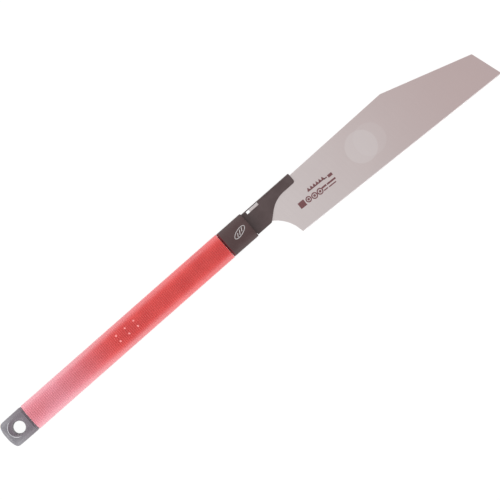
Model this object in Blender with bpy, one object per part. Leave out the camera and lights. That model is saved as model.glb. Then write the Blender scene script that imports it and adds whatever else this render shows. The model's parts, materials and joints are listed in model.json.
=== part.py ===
"""Long pull saw with a replaceable blade that hooks into a folded steel holder.

Metres, +Z up. The saw lies flat on its handle: +X runs from the butt to the blade's tip and +Y from
the teeth to the blade's back. The origin is the centre of the underside of the bounding box.
Inside the functions a place is (along, across, up): along the handle from its butt end, across from
the handle's centreline, and up from the plane in the middle of the blade.
"""
import math

import bmesh
import bpy

# Fit between pieces that touch, and between a pin and its hole.
GAP = 0.0003
PIN_CLEARANCE = 0.00015

# How far cutters stand out past what they cut, the sides of round shapes, and the angle that stays sharp.
OVERCUT = 0.001
HOLE_SIDES = 48
PIN_SIDES = 16
STUD_SIDES = 12
SHARP_ANGLE = math.radians(30)

# Outline of the blade.
BLADE_THICKNESS = 0.0006
TOOTH_COUNT = 172
TOOTH_DEPTH = 0.0012
TOOTH_RAKE = 0.35
HEEL = (0.3531, -0.0403)
TOE = (0.6025, -0.0524)
NOSE = (0.5926, -0.0185)
NOSE_FILLET = 0.0015
SHOULDER = (0.4987, 0.0116)
SHOULDER_FILLET = 0.0060
BACK_IN_HOLDER = (0.3400, 0.0100)
NECK_CENTRE = (0.3165, -0.0422)
NECK_RADIUS = 0.0364
NECK_TOP_ANGLE = 94
NECK_HEEL_MARGIN = 2
NIB_START = 0.3265
NIB_END = 0.3372
NIB_TOP = 0.0113
NIB_SLOPE = 0.0004
TANG_TOP = 0.0080

# Hook joint between the blade and the holder.
PIN = (0.3080, 0.0040)
PIN_RADIUS = 0.0020
HOOK_RADIUS = 0.0060
HOOK_ANGLES = (60, 285)
SLOT_ANGLE = math.radians(225)

# Handle: the grip covers the core between the butt cap and the front ferrule.
GRIP_WIDTH = 0.0296
GRIP_THICKNESS = 0.0200
GRIP_WALL = 0.0020
GRIP_EDGE = 0.0006
TRIM_WIDTH = 0.0286
CAP_WIDTH = 0.0291
TRIM_THICKNESS = 0.0192
FLAT_SHARE = 0.47
SQUARENESS = 2.4
CAP_END = 0.0306
GRIP_END = 0.28605
FERRULE_END = 0.3176
FERRULE_CHAMFER = 0.0016
FERRULE_FRONT = (0.0277, 0.0170)

# Outline of the butt cap up to its straight part: along, width, thickness.
CAP_BUTT = (
    (0.0000, 0.0110, 0.0090),
    (0.0004, 0.0152, 0.0122),
    (0.0009, 0.0192, 0.0148),
    (0.0015, 0.0228, 0.0167),
    (0.0021, 0.0252, 0.0178),
    (0.0030, 0.0272, 0.0186),
    (0.0042, 0.0283, 0.0190),
    (0.0060, 0.0288, TRIM_THICKNESS),
)

# Hang hole through the butt cap, with a dish on both faces that lies a little towards the butt.
HANG_HOLE_ALONG = 0.0164
HANG_HOLE_RADIUS = 0.0061
HANG_DISH_ALONG = 0.0156
HANG_DISH_RADIUS = 0.0106
HANG_DISH_FLOOR_RADIUS = 0.0072
HANG_DISH_DEPTH = 0.0022

# Studs moulded on the grip's upper face, in rows of three.
STUD_ALONG = (0.1474, 0.1587, 0.1700)
STUD_ACROSS = (0.0044, -0.0024)
STUD_RADIUS = 0.0011
STUD_HEIGHT = 0.0005

# Wooden core: a body under the grip and a spigot at each end.
CORE_WIDTH = GRIP_WIDTH - 2 * (GRIP_WALL + GAP)
CORE_THICKNESS = GRIP_THICKNESS - 2 * (GRIP_WALL + GAP)
REAR_SPIGOT = (0.0251, 0.0190, 0.0100)
FRONT_SPIGOT = (0.2995, 0.0220, 0.0130)

# Holder: sheet steel folded over the blade's back, with a tongue let into the core.
SHEET = 0.0011
HOLDER_THICKNESS = 0.0034
FOLD_RADIUS = 0.0014
HOLDER_TOP = 0.0128
HOLDER_BOTTOM = -0.0132
HOLDER_INNER_BOTTOM = -0.0115
HOLDER_START = 0.3010
ARM_END = 0.3792
ARM_BOTTOM = 0.0020
ARM_CURVE = 0.0310
ARM_CURVE_START = 0.36465
ARM_TIP_FILLET = 0.0010
ARM_TOE_FILLET = 0.0025
KINK = (0.3442, -0.0057)
LOWER_CORNER = (0.3356, -0.0131)
LOWER_FILLET = 0.0022
TONGUE_START = 0.2620
TONGUE_HALF = 0.0060
WINDOW = (0.3229, 0.3375, 0.0088, 0.01175)

# Rivets through core and tongue.
RIVET_ALONG = (0.2920, 0.2720)
RIVET_RADIUS = 0.0020
RIVET_HEAD_RADIUS = 0.0035
RIVET_HEAD = 0.0012

# The handle's centreline as seen from the origin.
CENTRE_X = -TOE[0] / 2
CENTRE_Y = -(TOE[1] + GRIP_WIDTH / 2) / 2
CENTRE_Z = GRIP_THICKNESS / 2


def clear_scene():
    for item in list(bpy.data.objects):
        bpy.data.objects.remove(item, do_unlink=True)


def make_material(name, color, roughness, metallic=0.0):
    material = bpy.data.materials.new(name)
    material.use_nodes = True
    shader = material.node_tree.nodes["Principled BSDF"]
    shader.inputs["Base Color"].default_value = (*color, 1.0)
    shader.inputs["Roughness"].default_value = roughness
    shader.inputs["Metallic"].default_value = metallic
    return material


def make_empty(name, place, parent=None):
    empty = bpy.data.objects.new(name, None)
    empty.location = place
    empty.parent = parent
    bpy.context.collection.objects.link(empty)
    return empty


def make_object(name, shape, parent, material=None, place=(0.0, 0.0, 0.0)):
    """Turn a bmesh into an object; one without a material is a cutter."""
    bmesh.ops.recalc_face_normals(shape, faces=shape.faces)
    mesh = bpy.data.meshes.new(name)
    shape.to_mesh(mesh)
    shape.free()
    mesh.shade_smooth()
    mesh.set_sharp_from_angle(angle=SHARP_ANGLE)
    item = bpy.data.objects.new(name, mesh)
    item.location = place
    item.parent = parent
    bpy.context.collection.objects.link(item)
    if material is None:
        item.hide_render = True
        item.display_type = "WIRE"
    else:
        mesh.materials.append(material)
    return item


def combine(item, tool, operation="DIFFERENCE"):
    modifier = item.modifiers.new(tool.name, "BOOLEAN")
    modifier.operation = operation
    modifier.solver = "EXACT"
    modifier.object = tool


def arc(centre, radius, start, end, steps):
    """Points on an arc, both ends included; angles in degrees."""
    points = []
    for step in range(steps + 1):
        angle = math.radians(start + (end - start) * step / steps)
        points.append((centre[0] + radius * math.cos(angle), centre[1] + radius * math.sin(angle)))
    return points


def rounded(corner, before, after, radius, steps=6):
    """Points that round one corner of an outline, tangent to both of its edges."""
    to_before = (before[0] - corner[0], before[1] - corner[1])
    to_after = (after[0] - corner[0], after[1] - corner[1])
    angle_before = math.atan2(to_before[1], to_before[0])
    angle_after = math.atan2(to_after[1], to_after[0])
    turn = (angle_after - angle_before + math.pi) % (2 * math.pi) - math.pi
    half = abs(turn) / 2
    middle = angle_before + turn / 2
    reach = radius / math.sin(half)
    centre = (corner[0] + reach * math.cos(middle), corner[1] + reach * math.sin(middle))
    sweep = math.pi - abs(turn)
    side = math.copysign(1.0, turn)
    points = []
    for step in range(steps + 1):
        angle = middle + math.pi + side * sweep * (0.5 - step / steps)
        points.append((centre[0] + radius * math.cos(angle), centre[1] + radius * math.sin(angle)))
    return points


def section(width, thickness, steps=20):
    """Cross-section of the handle: a rounded oval with a true flat above and below."""
    full = thickness / 2 / (1 - FLAT_SHARE ** SQUARENESS) ** (1 / SQUARENESS)
    corner = math.acos(FLAT_SHARE ** (SQUARENESS / 2))
    side = []
    for step in range(steps + 1):
        angle = corner * (2 * step / steps - 1)
        across = width / 2 * math.cos(angle) ** (2 / SQUARENESS)
        up = math.copysign(full * abs(math.sin(angle)) ** (2 / SQUARENESS), angle)
        side.append((across, up))
    return side + [(-across, up) for across, up in reversed(side)]


def loft(name, stations, parent, material=None):
    """Solid through sections at the stations (along, width, thickness), closed at both ends."""
    shape = bmesh.new()
    rings = []
    for along, width, thickness in stations:
        rings.append([shape.verts.new((along, across, up)) for across, up in section(width, thickness)])
    for first, second in zip(rings, rings[1:]):
        for index in range(len(first)):
            after = (index + 1) % len(first)
            shape.faces.new((first[index], first[after], second[after], second[index]))
    shape.faces.new(rings[0])
    shape.faces.new(rings[-1])
    return make_object(name, shape, parent, material)


def plate(name, outline, thickness, parent, material=None):
    """Flat outline in the blade's plane, extruded equally to both sides of it."""
    shape = bmesh.new()
    face = shape.faces.new([shape.verts.new((along, across, -thickness / 2)) for along, across in outline])
    raised = bmesh.ops.extrude_face_region(shape, geom=[face])["geom"]
    for vertex in (item for item in raised if isinstance(item, bmesh.types.BMVert)):
        vertex.co.z += thickness
    bmesh.ops.triangulate(shape, faces=[item for item in shape.faces if len(item.verts) > 4])
    return make_object(name, shape, parent, material)


def turned(name, profile, centre, parent, material=None, sides=24):
    """Solid of revolution about the upward line through centre; profile is (radius, up) from below."""
    shape = bmesh.new()
    rings = []
    for radius, up in profile:
        ring = []
        for side in range(sides):
            angle = 2 * math.pi * side / sides
            ring.append(shape.verts.new((radius * math.cos(angle), radius * math.sin(angle), up)))
        rings.append(ring)
    for lower, upper in zip(rings, rings[1:]):
        for side in range(sides):
            after = (side + 1) % sides
            shape.faces.new((lower[side], lower[after], upper[after], upper[side]))
    shape.faces.new(rings[0])
    shape.faces.new(rings[-1])
    return make_object(name, shape, parent, material, (*centre, 0.0))


def box(name, low, high, parent):
    """Cutter between two corners."""
    shape = bmesh.new()
    bmesh.ops.create_cube(shape, size=1.0)
    for vertex in shape.verts:
        vertex.co = [low[axis] + (vertex.co[axis] + 0.5) * (high[axis] - low[axis]) for axis in range(3)]
    return make_object(name, shape, parent)


def tooth_line():
    """Saw teeth from heel to toe, leaning towards the handle; the points end on a straight line."""
    run = (TOE[0] - HEEL[0], TOE[1] - HEEL[1])
    length = math.hypot(*run)
    along = (run[0] / length, run[1] / length)
    inward = (-along[1], along[0])
    pitch = length / TOOTH_COUNT
    points = [HEEL]
    for tooth in range(TOOTH_COUNT):
        gullet = pitch * (tooth + 1 - TOOTH_RAKE)
        point = pitch * (tooth + 1)
        points.append((HEEL[0] + along[0] * gullet + inward[0] * TOOTH_DEPTH,
                       HEEL[1] + along[1] * gullet + inward[1] * TOOTH_DEPTH))
        points.append((HEEL[0] + along[0] * point, HEEL[1] + along[1] * point))
    return points


def build_blade(handle, steel):
    """Blade with teeth, a concave neck, a latch nib on its back and a hooked tang."""
    swing = make_empty("blade_pivot", (*PIN, 0.0), handle)
    outline = tooth_line()
    outline += rounded(NOSE, TOE, SHOULDER, NOSE_FILLET)
    outline += rounded(SHOULDER, NOSE, BACK_IN_HOLDER, SHOULDER_FILLET)
    outline += [
        BACK_IN_HOLDER,
        (NIB_END, NIB_TOP),
        (NIB_START, NIB_TOP),
        (NIB_START - NIB_SLOPE, TANG_TOP),
        (PIN[0] + HOOK_RADIUS, TANG_TOP),
    ]
    outline += arc(PIN, HOOK_RADIUS, *HOOK_ANGLES, 14)
    neck_end = math.degrees(math.atan2(HEEL[1] - NECK_CENTRE[1], HEEL[0] - NECK_CENTRE[0]))
    outline += arc(NECK_CENTRE, NECK_RADIUS, NECK_TOP_ANGLE, neck_end + NECK_HEEL_MARGIN, 40)
    outline = [(along - PIN[0], across - PIN[1]) for along, across in outline]
    blade = plate("blade", outline, BLADE_THICKNESS, swing, steel)
    reach = 2 * HOOK_RADIUS
    mouth = (math.cos(SLOT_ANGLE) * reach, math.sin(SLOT_ANGLE) * reach)
    facing = math.degrees(SLOT_ANGLE)
    radius = PIN_RADIUS + PIN_CLEARANCE
    slot = arc((0.0, 0.0), radius, facing - 270, facing - 90, 12) + arc(mouth, radius, facing - 90, facing + 90, 4)
    combine(blade, plate("hook_slot_cutter", slot, 4 * BLADE_THICKNESS, swing))


def build_holder(handle, steel):
    """Sheet folded over the blade's back: two cheeks, a top fold, a latch window and a tongue."""
    arm_tip = (ARM_END, HOLDER_TOP)
    arm_toe = (ARM_END, ARM_BOTTOM)
    curve_centre = (ARM_CURVE_START, ARM_BOTTOM - ARM_CURVE)
    curve_end = 180 - math.degrees(math.acos((ARM_CURVE_START - KINK[0]) / ARM_CURVE))
    outline = [
        (TONGUE_START, -TONGUE_HALF),
        (TONGUE_START, TONGUE_HALF),
        (HOLDER_START, TONGUE_HALF),
        (HOLDER_START, HOLDER_TOP),
    ]
    outline += rounded(arm_tip, (HOLDER_START, HOLDER_TOP), arm_toe, ARM_TIP_FILLET)
    outline += rounded(arm_toe, arm_tip, (ARM_CURVE_START, ARM_BOTTOM), ARM_TOE_FILLET)
    outline += arc(curve_centre, ARM_CURVE, 90, curve_end, 16)
    outline += rounded(LOWER_CORNER, KINK, (FERRULE_END, HOLDER_BOTTOM), LOWER_FILLET)
    outline += [
        (FERRULE_END + GAP, HOLDER_BOTTOM),
        (FERRULE_END + GAP, HOLDER_INNER_BOTTOM),
        (HOLDER_START, HOLDER_INNER_BOTTOM),
        (HOLDER_START, -TONGUE_HALF),
    ]
    holder = plate("blade_holder", outline, HOLDER_THICKNESS, handle, steel)
    combine(holder, folded_channel(handle), "INTERSECT")
    low_x, high_x, low_y, high_y = WINDOW
    window = box("window_cutter", (low_x, low_y, -HOLDER_THICKNESS), (high_x, high_y, HOLDER_THICKNESS), handle)
    combine(holder, window)
    for name, along, across, radius in (
        ("pin_hole", *PIN, PIN_RADIUS + PIN_CLEARANCE),
        ("front_rivet_hole", RIVET_ALONG[0], 0.0, RIVET_RADIUS + GAP),
        ("rear_rivet_hole", RIVET_ALONG[1], 0.0, RIVET_RADIUS + GAP),
    ):
        profile = [(radius, -HOLDER_THICKNESS), (radius, HOLDER_THICKNESS)]
        combine(holder, turned(name + "_cutter", profile, (along, across), handle, sides=PIN_SIDES))


def folded_channel(handle):
    """Cross-section of the folded sheet, run along the whole holder."""
    half = HOLDER_THICKNESS / 2
    inner = half - SHEET
    low = HOLDER_BOTTOM - OVERCUT
    bend = (half - FOLD_RADIUS, HOLDER_TOP - FOLD_RADIUS)
    profile = [(half, low)]
    profile += arc(bend, FOLD_RADIUS, 0, 90, 6)
    profile += arc((-bend[0], bend[1]), FOLD_RADIUS, 90, 180, 6)
    profile += [(-half, low), (-inner, low), (-inner, HOLDER_TOP - SHEET), (inner, HOLDER_TOP - SHEET), (inner, low)]
    shape = bmesh.new()
    face = shape.faces.new([shape.verts.new((TONGUE_START - OVERCUT, across, up)) for up, across in profile])
    raised = bmesh.ops.extrude_face_region(shape, geom=[face])["geom"]
    for vertex in (item for item in raised if isinstance(item, bmesh.types.BMVert)):
        vertex.co.x = ARM_END + OVERCUT
    bmesh.ops.triangulate(shape, faces=[item for item in shape.faces if len(item.verts) > 4])
    return make_object("fold_cutter", shape, handle)


def build_hook_pin(handle, steel):
    half = HOLDER_THICKNESS / 2
    turned("hook_pin", [(PIN_RADIUS, -half), (PIN_RADIUS, half)], PIN, handle, steel, sides=PIN_SIDES)


def rivet_profile(depth, extra):
    """Rivet with a flat head at each end, just under the wood's surface; extra widens it into its hole."""
    half = depth / 2 - GAP + 2 * extra
    inner = depth / 2 - GAP - RIVET_HEAD - extra
    head = RIVET_HEAD_RADIUS + extra
    shank = RIVET_RADIUS + extra
    return [(head, -half), (head, -inner), (shank, -inner), (shank, inner), (head, inner), (head, half)]


def build_rivets(handle, steel):
    for name, along, depth in (
        ("tongue_rivet_front", RIVET_ALONG[0], FRONT_SPIGOT[2]),
        ("tongue_rivet_rear", RIVET_ALONG[1], CORE_THICKNESS),
    ):
        turned(name, rivet_profile(depth, 0.0), (along, 0.0), handle, steel, sides=PIN_SIDES)


def build_core(handle, wood):
    """Wooden core with a spigot at each end, a kerf for the holder's tongue and the rivets' holes."""
    core = loft("handle_core", [
        REAR_SPIGOT,
        (CAP_END + GAP, *REAR_SPIGOT[1:]),
        (CAP_END + GAP, CORE_WIDTH, CORE_THICKNESS),
        (GRIP_END - GAP, CORE_WIDTH, CORE_THICKNESS),
        (GRIP_END - GAP, *FRONT_SPIGOT[1:]),
        FRONT_SPIGOT,
    ], handle, wood)
    half = HOLDER_THICKNESS / 2 + GAP
    reach = TONGUE_HALF + GAP
    kerf = box("kerf_cutter", (TONGUE_START - GAP, -reach, -half), (HOLDER_START, reach, half), handle)
    combine(core, kerf)
    for name, along, depth in (
        ("front_rivet_bed", RIVET_ALONG[0], FRONT_SPIGOT[2]),
        ("rear_rivet_bed", RIVET_ALONG[1], CORE_THICKNESS),
    ):
        bed = turned(name + "_cutter", rivet_profile(depth, GAP), (along, 0.0), handle, sides=PIN_SIDES)
        combine(core, bed)


def build_grip(handle, rubber):
    """Sleeve over the core, with the studs raised on its upper face."""
    inner_width = GRIP_WIDTH - 2 * GRIP_WALL
    inner_thickness = GRIP_THICKNESS - 2 * GRIP_WALL
    grip = loft("grip_sleeve", [
        (CAP_END + GAP / 2, GRIP_WIDTH - GRIP_EDGE, GRIP_THICKNESS - GRIP_EDGE),
        (CAP_END + GRIP_EDGE, GRIP_WIDTH, GRIP_THICKNESS),
        (GRIP_END - GRIP_EDGE, GRIP_WIDTH, GRIP_THICKNESS),
        (GRIP_END - GAP / 2, GRIP_WIDTH - GRIP_EDGE, GRIP_THICKNESS - GRIP_EDGE),
    ], handle, rubber)
    top = GRIP_THICKNESS / 2
    for row, across in enumerate(STUD_ACROSS):
        for column, along in enumerate(STUD_ALONG):
            profile = [
                (STUD_RADIUS, top - GRIP_WALL / 2),
                (STUD_RADIUS, top + STUD_HEIGHT / 2),
                (STUD_RADIUS / 2, top + STUD_HEIGHT),
            ]
            name = "stud_{}_{}_shape".format(row, column)
            combine(grip, turned(name, profile, (along, across), handle, sides=STUD_SIDES), "UNION")
    inside = loft("grip_bore_cutter", [
        (CAP_END - OVERCUT, inner_width, inner_thickness),
        (GRIP_END + OVERCUT, inner_width, inner_thickness),
    ], handle)
    combine(grip, inside)


def build_butt_cap(handle, plastic):
    """Cap with a bowed and rounded butt end, a dished hang hole and a socket for the core."""
    straight_end = (CAP_END - GAP / 2, CAP_WIDTH, TRIM_THICKNESS)
    cap = loft("butt_cap", [*CAP_BUTT, straight_end], handle, plastic)
    clear = TRIM_THICKNESS
    hole = [(HANG_HOLE_RADIUS, -clear), (HANG_HOLE_RADIUS, clear)]
    combine(cap, turned("hang_hole_cutter", hole, (HANG_HOLE_ALONG, 0.0), handle, sides=HOLE_SIDES))
    surface = TRIM_THICKNESS / 2
    spread = (HANG_DISH_RADIUS - HANG_DISH_FLOOR_RADIUS) / HANG_DISH_DEPTH
    for name, side in (("upper_dish_cutter", 1), ("lower_dish_cutter", -1)):
        dish = [
            (HANG_DISH_FLOOR_RADIUS, side * (surface - HANG_DISH_DEPTH)),
            (HANG_DISH_RADIUS + OVERCUT * spread, side * (surface + OVERCUT)),
        ]
        combine(cap, turned(name, dish, (HANG_DISH_ALONG, 0.0), handle, sides=HOLE_SIDES))
    start, width, thickness = REAR_SPIGOT
    socket = loft("cap_socket_cutter", [
        (start - GAP, width + 2 * GAP, thickness + 2 * GAP),
        (CAP_END + OVERCUT, width + 2 * GAP, thickness + 2 * GAP),
    ], handle)
    combine(cap, socket)


def build_ferrule(handle, plastic):
    """Ferrule with a chamfered front, a socket for the core and a slot for the holder."""
    ferrule = loft("front_ferrule", [
        (GRIP_END + GAP / 2, TRIM_WIDTH, TRIM_THICKNESS),
        (FERRULE_END - FERRULE_CHAMFER, TRIM_WIDTH, TRIM_THICKNESS),
        (FERRULE_END, *FERRULE_FRONT),
    ], handle, plastic)
    end, width, thickness = FRONT_SPIGOT
    socket = loft("ferrule_socket_cutter", [
        (GRIP_END - OVERCUT, width + 2 * GAP, thickness + 2 * GAP),
        (end + GAP, width + 2 * GAP, thickness + 2 * GAP),
    ], handle)
    combine(ferrule, socket)
    half = HOLDER_THICKNESS / 2 + GAP
    low = (end - OVERCUT, HOLDER_INNER_BOTTOM - GAP, -half)
    high = (FERRULE_END + OVERCUT, HOLDER_TOP + GAP, half)
    combine(ferrule, box("holder_slot_cutter", low, high, handle))


def main():
    clear_scene()
    handle = make_empty("handle_centreline", (CENTRE_X, CENTRE_Y, CENTRE_Z))
    blade_steel = make_material("blade_steel", (0.56, 0.50, 0.49), 0.35, 0.9)
    black_steel = make_material("black_steel", (0.07, 0.06, 0.06), 0.45, 0.4)
    bright_steel = make_material("bright_steel", (0.60, 0.60, 0.60), 0.30, 1.0)
    red_rubber = make_material("red_rubber", (0.62, 0.05, 0.05), 0.60)
    black_plastic = make_material("black_plastic", (0.07, 0.06, 0.06), 0.50)
    grey_plastic = make_material("grey_plastic", (0.14, 0.13, 0.15), 0.45)
    pale_wood = make_material("pale_wood", (0.60, 0.44, 0.27), 0.65)
    build_blade(handle, blade_steel)
    build_holder(handle, black_steel)
    build_hook_pin(handle, bright_steel)
    build_rivets(handle, bright_steel)
    build_core(handle, pale_wood)
    build_grip(handle, red_rubber)
    build_butt_cap(handle, grey_plastic)
    build_ferrule(handle, black_plastic)


main()
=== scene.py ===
import json
import math
import bmesh
import bpy
from mathutils import Matrix, Vector

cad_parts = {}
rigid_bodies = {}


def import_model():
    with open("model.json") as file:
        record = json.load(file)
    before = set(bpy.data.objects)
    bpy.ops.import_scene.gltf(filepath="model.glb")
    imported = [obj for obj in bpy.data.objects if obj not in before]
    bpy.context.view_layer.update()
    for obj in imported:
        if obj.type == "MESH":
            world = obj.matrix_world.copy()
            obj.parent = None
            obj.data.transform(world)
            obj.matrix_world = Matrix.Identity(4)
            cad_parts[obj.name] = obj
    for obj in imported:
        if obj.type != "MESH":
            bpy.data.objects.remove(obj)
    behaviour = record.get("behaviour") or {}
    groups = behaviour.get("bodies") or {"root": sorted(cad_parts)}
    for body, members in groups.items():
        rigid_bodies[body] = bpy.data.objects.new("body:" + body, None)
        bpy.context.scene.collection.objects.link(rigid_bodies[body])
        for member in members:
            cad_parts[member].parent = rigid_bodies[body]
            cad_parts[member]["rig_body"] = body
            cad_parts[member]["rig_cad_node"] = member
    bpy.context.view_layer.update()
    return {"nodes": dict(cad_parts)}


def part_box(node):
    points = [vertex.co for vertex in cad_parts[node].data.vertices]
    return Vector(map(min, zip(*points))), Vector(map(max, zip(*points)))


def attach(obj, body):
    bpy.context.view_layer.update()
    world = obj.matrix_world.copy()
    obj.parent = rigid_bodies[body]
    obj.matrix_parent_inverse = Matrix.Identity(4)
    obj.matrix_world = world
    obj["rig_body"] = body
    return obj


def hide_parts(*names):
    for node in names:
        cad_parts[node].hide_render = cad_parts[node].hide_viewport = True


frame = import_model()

millimetre = 0.001
weldDistance = 0.005 * millimetre  # what the script's own meshes are merged at
nodeWeldDistance = 0.002 * millimetre
endTolerance = 0.2 * millimetre  # how near an end an open edge counts as lying on it
flatAngle = 3  # degrees under which the faces of a CAD node are made one again
axisY = (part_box("grip_sleeve")[0].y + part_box("grip_sleeve")[1].y) / 2  # handle's centreline
midZ = (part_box("blade")[0].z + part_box("blade")[1].z) / 2  # plane in the middle of the blade
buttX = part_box("butt_cap")[0].x


# ---- small helpers for modelling by hand

def deselectAll():
    if bpy.context.object and bpy.context.object.mode != "OBJECT":
        bpy.ops.object.mode_set(mode="OBJECT")
    bpy.ops.object.select_all(action="DESELECT")


def activate(piece):
    deselectAll()
    piece.select_set(True)
    bpy.context.view_layer.objects.active = piece


def startEdit(piece, mode="FACE"):
    activate(piece)
    bpy.ops.object.mode_set(mode="EDIT")
    bpy.ops.mesh.select_mode(type=mode)
    bpy.ops.mesh.select_all(action="DESELECT")


def endEdit():
    bpy.ops.object.mode_set(mode="OBJECT")


def pick(piece, kind, test):
    # selects verts, edges or faces of the piece in edit mode, by a test on each
    bpy.ops.mesh.select_all(action="DESELECT")
    shape = bmesh.from_edit_mesh(piece.data)
    for item in getattr(shape, kind):
        if test(item):
            item.select_set(True)
    shape.select_flush_mode()
    bmesh.update_edit_mesh(piece.data)


def applyModifier(piece, kind, **settings):
    activate(piece)
    modifier = piece.modifiers.new(kind.title(), kind)
    for name, value in settings.items():
        setattr(modifier, name, value)
    bpy.ops.object.modifier_apply(modifier=modifier.name)


def placeInMesh(piece):
    # the finished object sits at the origin, unturned and unscaled
    activate(piece)
    bpy.ops.object.transform_apply(location=True, rotation=True, scale=True)


def smooth(piece, degrees):
    activate(piece)
    bpy.ops.object.shade_smooth_by_angle(angle=math.radians(degrees))


def smoothFlat(piece, degrees):
    # smooth shading that leaves the broad flat faces flat
    smooth(piece, degrees)
    applyModifier(piece, "WEIGHTED_NORMAL", keep_sharp=True)


def roundOff(piece):
    # one level of subdivision, the same on screen as in the render
    applyModifier(piece, "SUBSURF", levels=1, render_levels=1)


def softenEdges(piece, width, degrees):
    applyModifier(piece, "BEVEL", width=width, segments=2, limit_method="ANGLE",
                  angle_limit=math.radians(degrees), use_clamp_overlap=True)


def repeatAlong(piece, count, step, **settings):
    applyModifier(piece, "ARRAY", count=count, use_relative_offset=False, use_constant_offset=True,
                  constant_offset_displace=(step, 0, 0), **settings)


def outwards(piece):
    startEdit(piece)
    bpy.ops.mesh.select_all(action="SELECT")
    bpy.ops.mesh.remove_doubles(threshold=weldDistance)
    bpy.ops.mesh.normals_make_consistent(inside=False)
    endEdit()


def copyNode(nodeName, name):
    # a merged copy of a CAD node with its flat faces whole again
    piece = frame["nodes"][nodeName].copy()
    piece.data = piece.data.copy()
    piece.name = piece.data.name = name
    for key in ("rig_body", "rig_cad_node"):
        del piece[key]
    piece.parent = None
    piece.data.materials.clear()
    bpy.context.scene.collection.objects.link(piece)
    startEdit(piece)
    bpy.ops.mesh.select_all(action="SELECT")
    bpy.ops.mesh.remove_doubles(threshold=nodeWeldDistance)
    bpy.ops.mesh.dissolve_limited(angle_limit=math.radians(flatAngle))
    bpy.ops.mesh.normals_make_consistent(inside=False)
    endEdit()
    return piece


def joined(name, pieces):
    activate(pieces[0])
    for piece in pieces:
        piece.select_set(True)
    bpy.ops.object.join()
    whole = bpy.context.object
    whole.name = whole.data.name = name
    return whole


def fromButt(along, across, z=0.0):
    # a place given in millimetres from the butt and from the handle's centreline
    return Vector((buttX + along * millimetre, axisY + across * millimetre, z))


def finishPiece(piece, body, material, replaced=()):
    placeInMesh(piece)
    piece.data.materials.clear()
    piece.data.materials.append(material)
    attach(piece, body)
    if replaced:
        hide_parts(*replaced)
    print("piece", piece.name, sum(len(face.vertices) - 2 for face in piece.data.polygons), "triangles")


# ---- shader node groups

def newGroup(name, inputs, outputs):
    tree = bpy.data.node_groups.new(name, "ShaderNodeTree")
    for label, kind, value in inputs:
        socket = tree.interface.new_socket(label, in_out="INPUT", socket_type=kind)
        if value is not None:
            socket.default_value = value
    for label, kind in outputs:
        tree.interface.new_socket(label, in_out="OUTPUT", socket_type=kind)
    return tree, tree.nodes.new("NodeGroupInput"), tree.nodes.new("NodeGroupOutput")


def node(tree, kind, inputs=None, **settings):
    made = tree.nodes.new("ShaderNode" + kind)
    for name, value in settings.items():
        setattr(made, name, value)
    for key, value in (inputs or {}).items():
        if isinstance(value, bpy.types.NodeSocket):
            tree.links.new(value, made.inputs[key])
        else:
            made.inputs[key].default_value = value
    return made


def maths(tree, operation, first, second=0.0):
    return node(tree, "Math", {0: first, 1: second}, operation=operation).outputs[0]


def remap(tree, value, low, high, toLow=0.0, toHigh=1.0):
    settings = {"Value": value, "From Min": low, "From Max": high, "To Min": toLow, "To Max": toHigh}
    return node(tree, "MapRange", settings, interpolation_type="SMOOTHSTEP").outputs[0]


def blendColors(tree, factor, first, second, mode="MIX"):
    mix = node(tree, "Mix", {"Factor": factor}, data_type="RGBA", blend_type=mode)
    for key, value in ((6, first), (7, second)):
        if isinstance(value, bpy.types.NodeSocket):
            tree.links.new(value, mix.inputs[key])
        else:
            mix.inputs[key].default_value = (*value, 1.0)
    return mix.outputs[2]


groupLook = {
    # the bands of noise, and of the turn of a rounded corner, that become masks from 0 to 1
    "cloudBand": (0.35, 0.65), "streakBand": (0.3, 0.7), "wearBand": (0.4, 0.65),
    "cornerBand": (0.995, 0.90), "grainDetail": 3.0, "detail": 4.0, "streakDetail": 2.0,
    "streakScale": 0.05, "bevelSamples": 6,
}


def noise(tree, vector, scale, detail):
    settings = {"Vector": vector, "Scale": scale, "Detail": groupLook[detail]}
    return node(tree, "TexNoise", settings).outputs[0]


def grainGroup():
    # fine mould or paint grain: a bump height, and a slow cloudy mask for colour and gloss
    tree, into, out = newGroup("fineGrain", [
        ("Vector", "NodeSocketVector", None),
        ("Grain Scale", "NodeSocketFloat", 2500.0),
        ("Cloud Scale", "NodeSocketFloat", 60.0),
    ], [("Height", "NodeSocketFloat"), ("Cloud", "NodeSocketFloat")])
    grain = noise(tree, into.outputs[0], into.outputs[1], "grainDetail")
    cloud = noise(tree, into.outputs[0], into.outputs[2], "detail")
    tree.links.new(grain, out.inputs[0])
    tree.links.new(remap(tree, cloud, *groupLook["cloudBand"]), out.inputs[1])
    return tree


def brushedGroup():
    # long fine scratches that run across the grinding direction, as a height and a mask
    tree, into, out = newGroup("groundLines", [
        ("Vector", "NodeSocketVector", None),
        ("Turn", "NodeSocketFloat", 0.0),
        ("Fineness", "NodeSocketFloat", 3000.0),
        ("Stretch", "NodeSocketFloat", 60.0),
    ], [("Height", "NodeSocketFloat"), ("Streaks", "NodeSocketFloat")])
    turned = node(tree, "VectorRotate", {"Vector": into.outputs[0], "Angle": into.outputs[1]},
                  rotation_type="Z_AXIS")
    parts = node(tree, "SeparateXYZ", {0: turned.outputs[0]})
    along = maths(tree, "DIVIDE", parts.outputs[0], into.outputs[3])
    stretched = node(tree, "CombineXYZ", {0: along, 1: parts.outputs[1], 2: parts.outputs[2]})
    lines = noise(tree, stretched.outputs[0], into.outputs[2], "detail")
    broad = maths(tree, "MULTIPLY", into.outputs[2], groupLook["streakScale"])
    streaks = noise(tree, stretched.outputs[0], broad, "streakDetail")
    tree.links.new(lines, out.inputs[0])
    tree.links.new(remap(tree, streaks, *groupLook["streakBand"]), out.inputs[1])
    return tree


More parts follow.
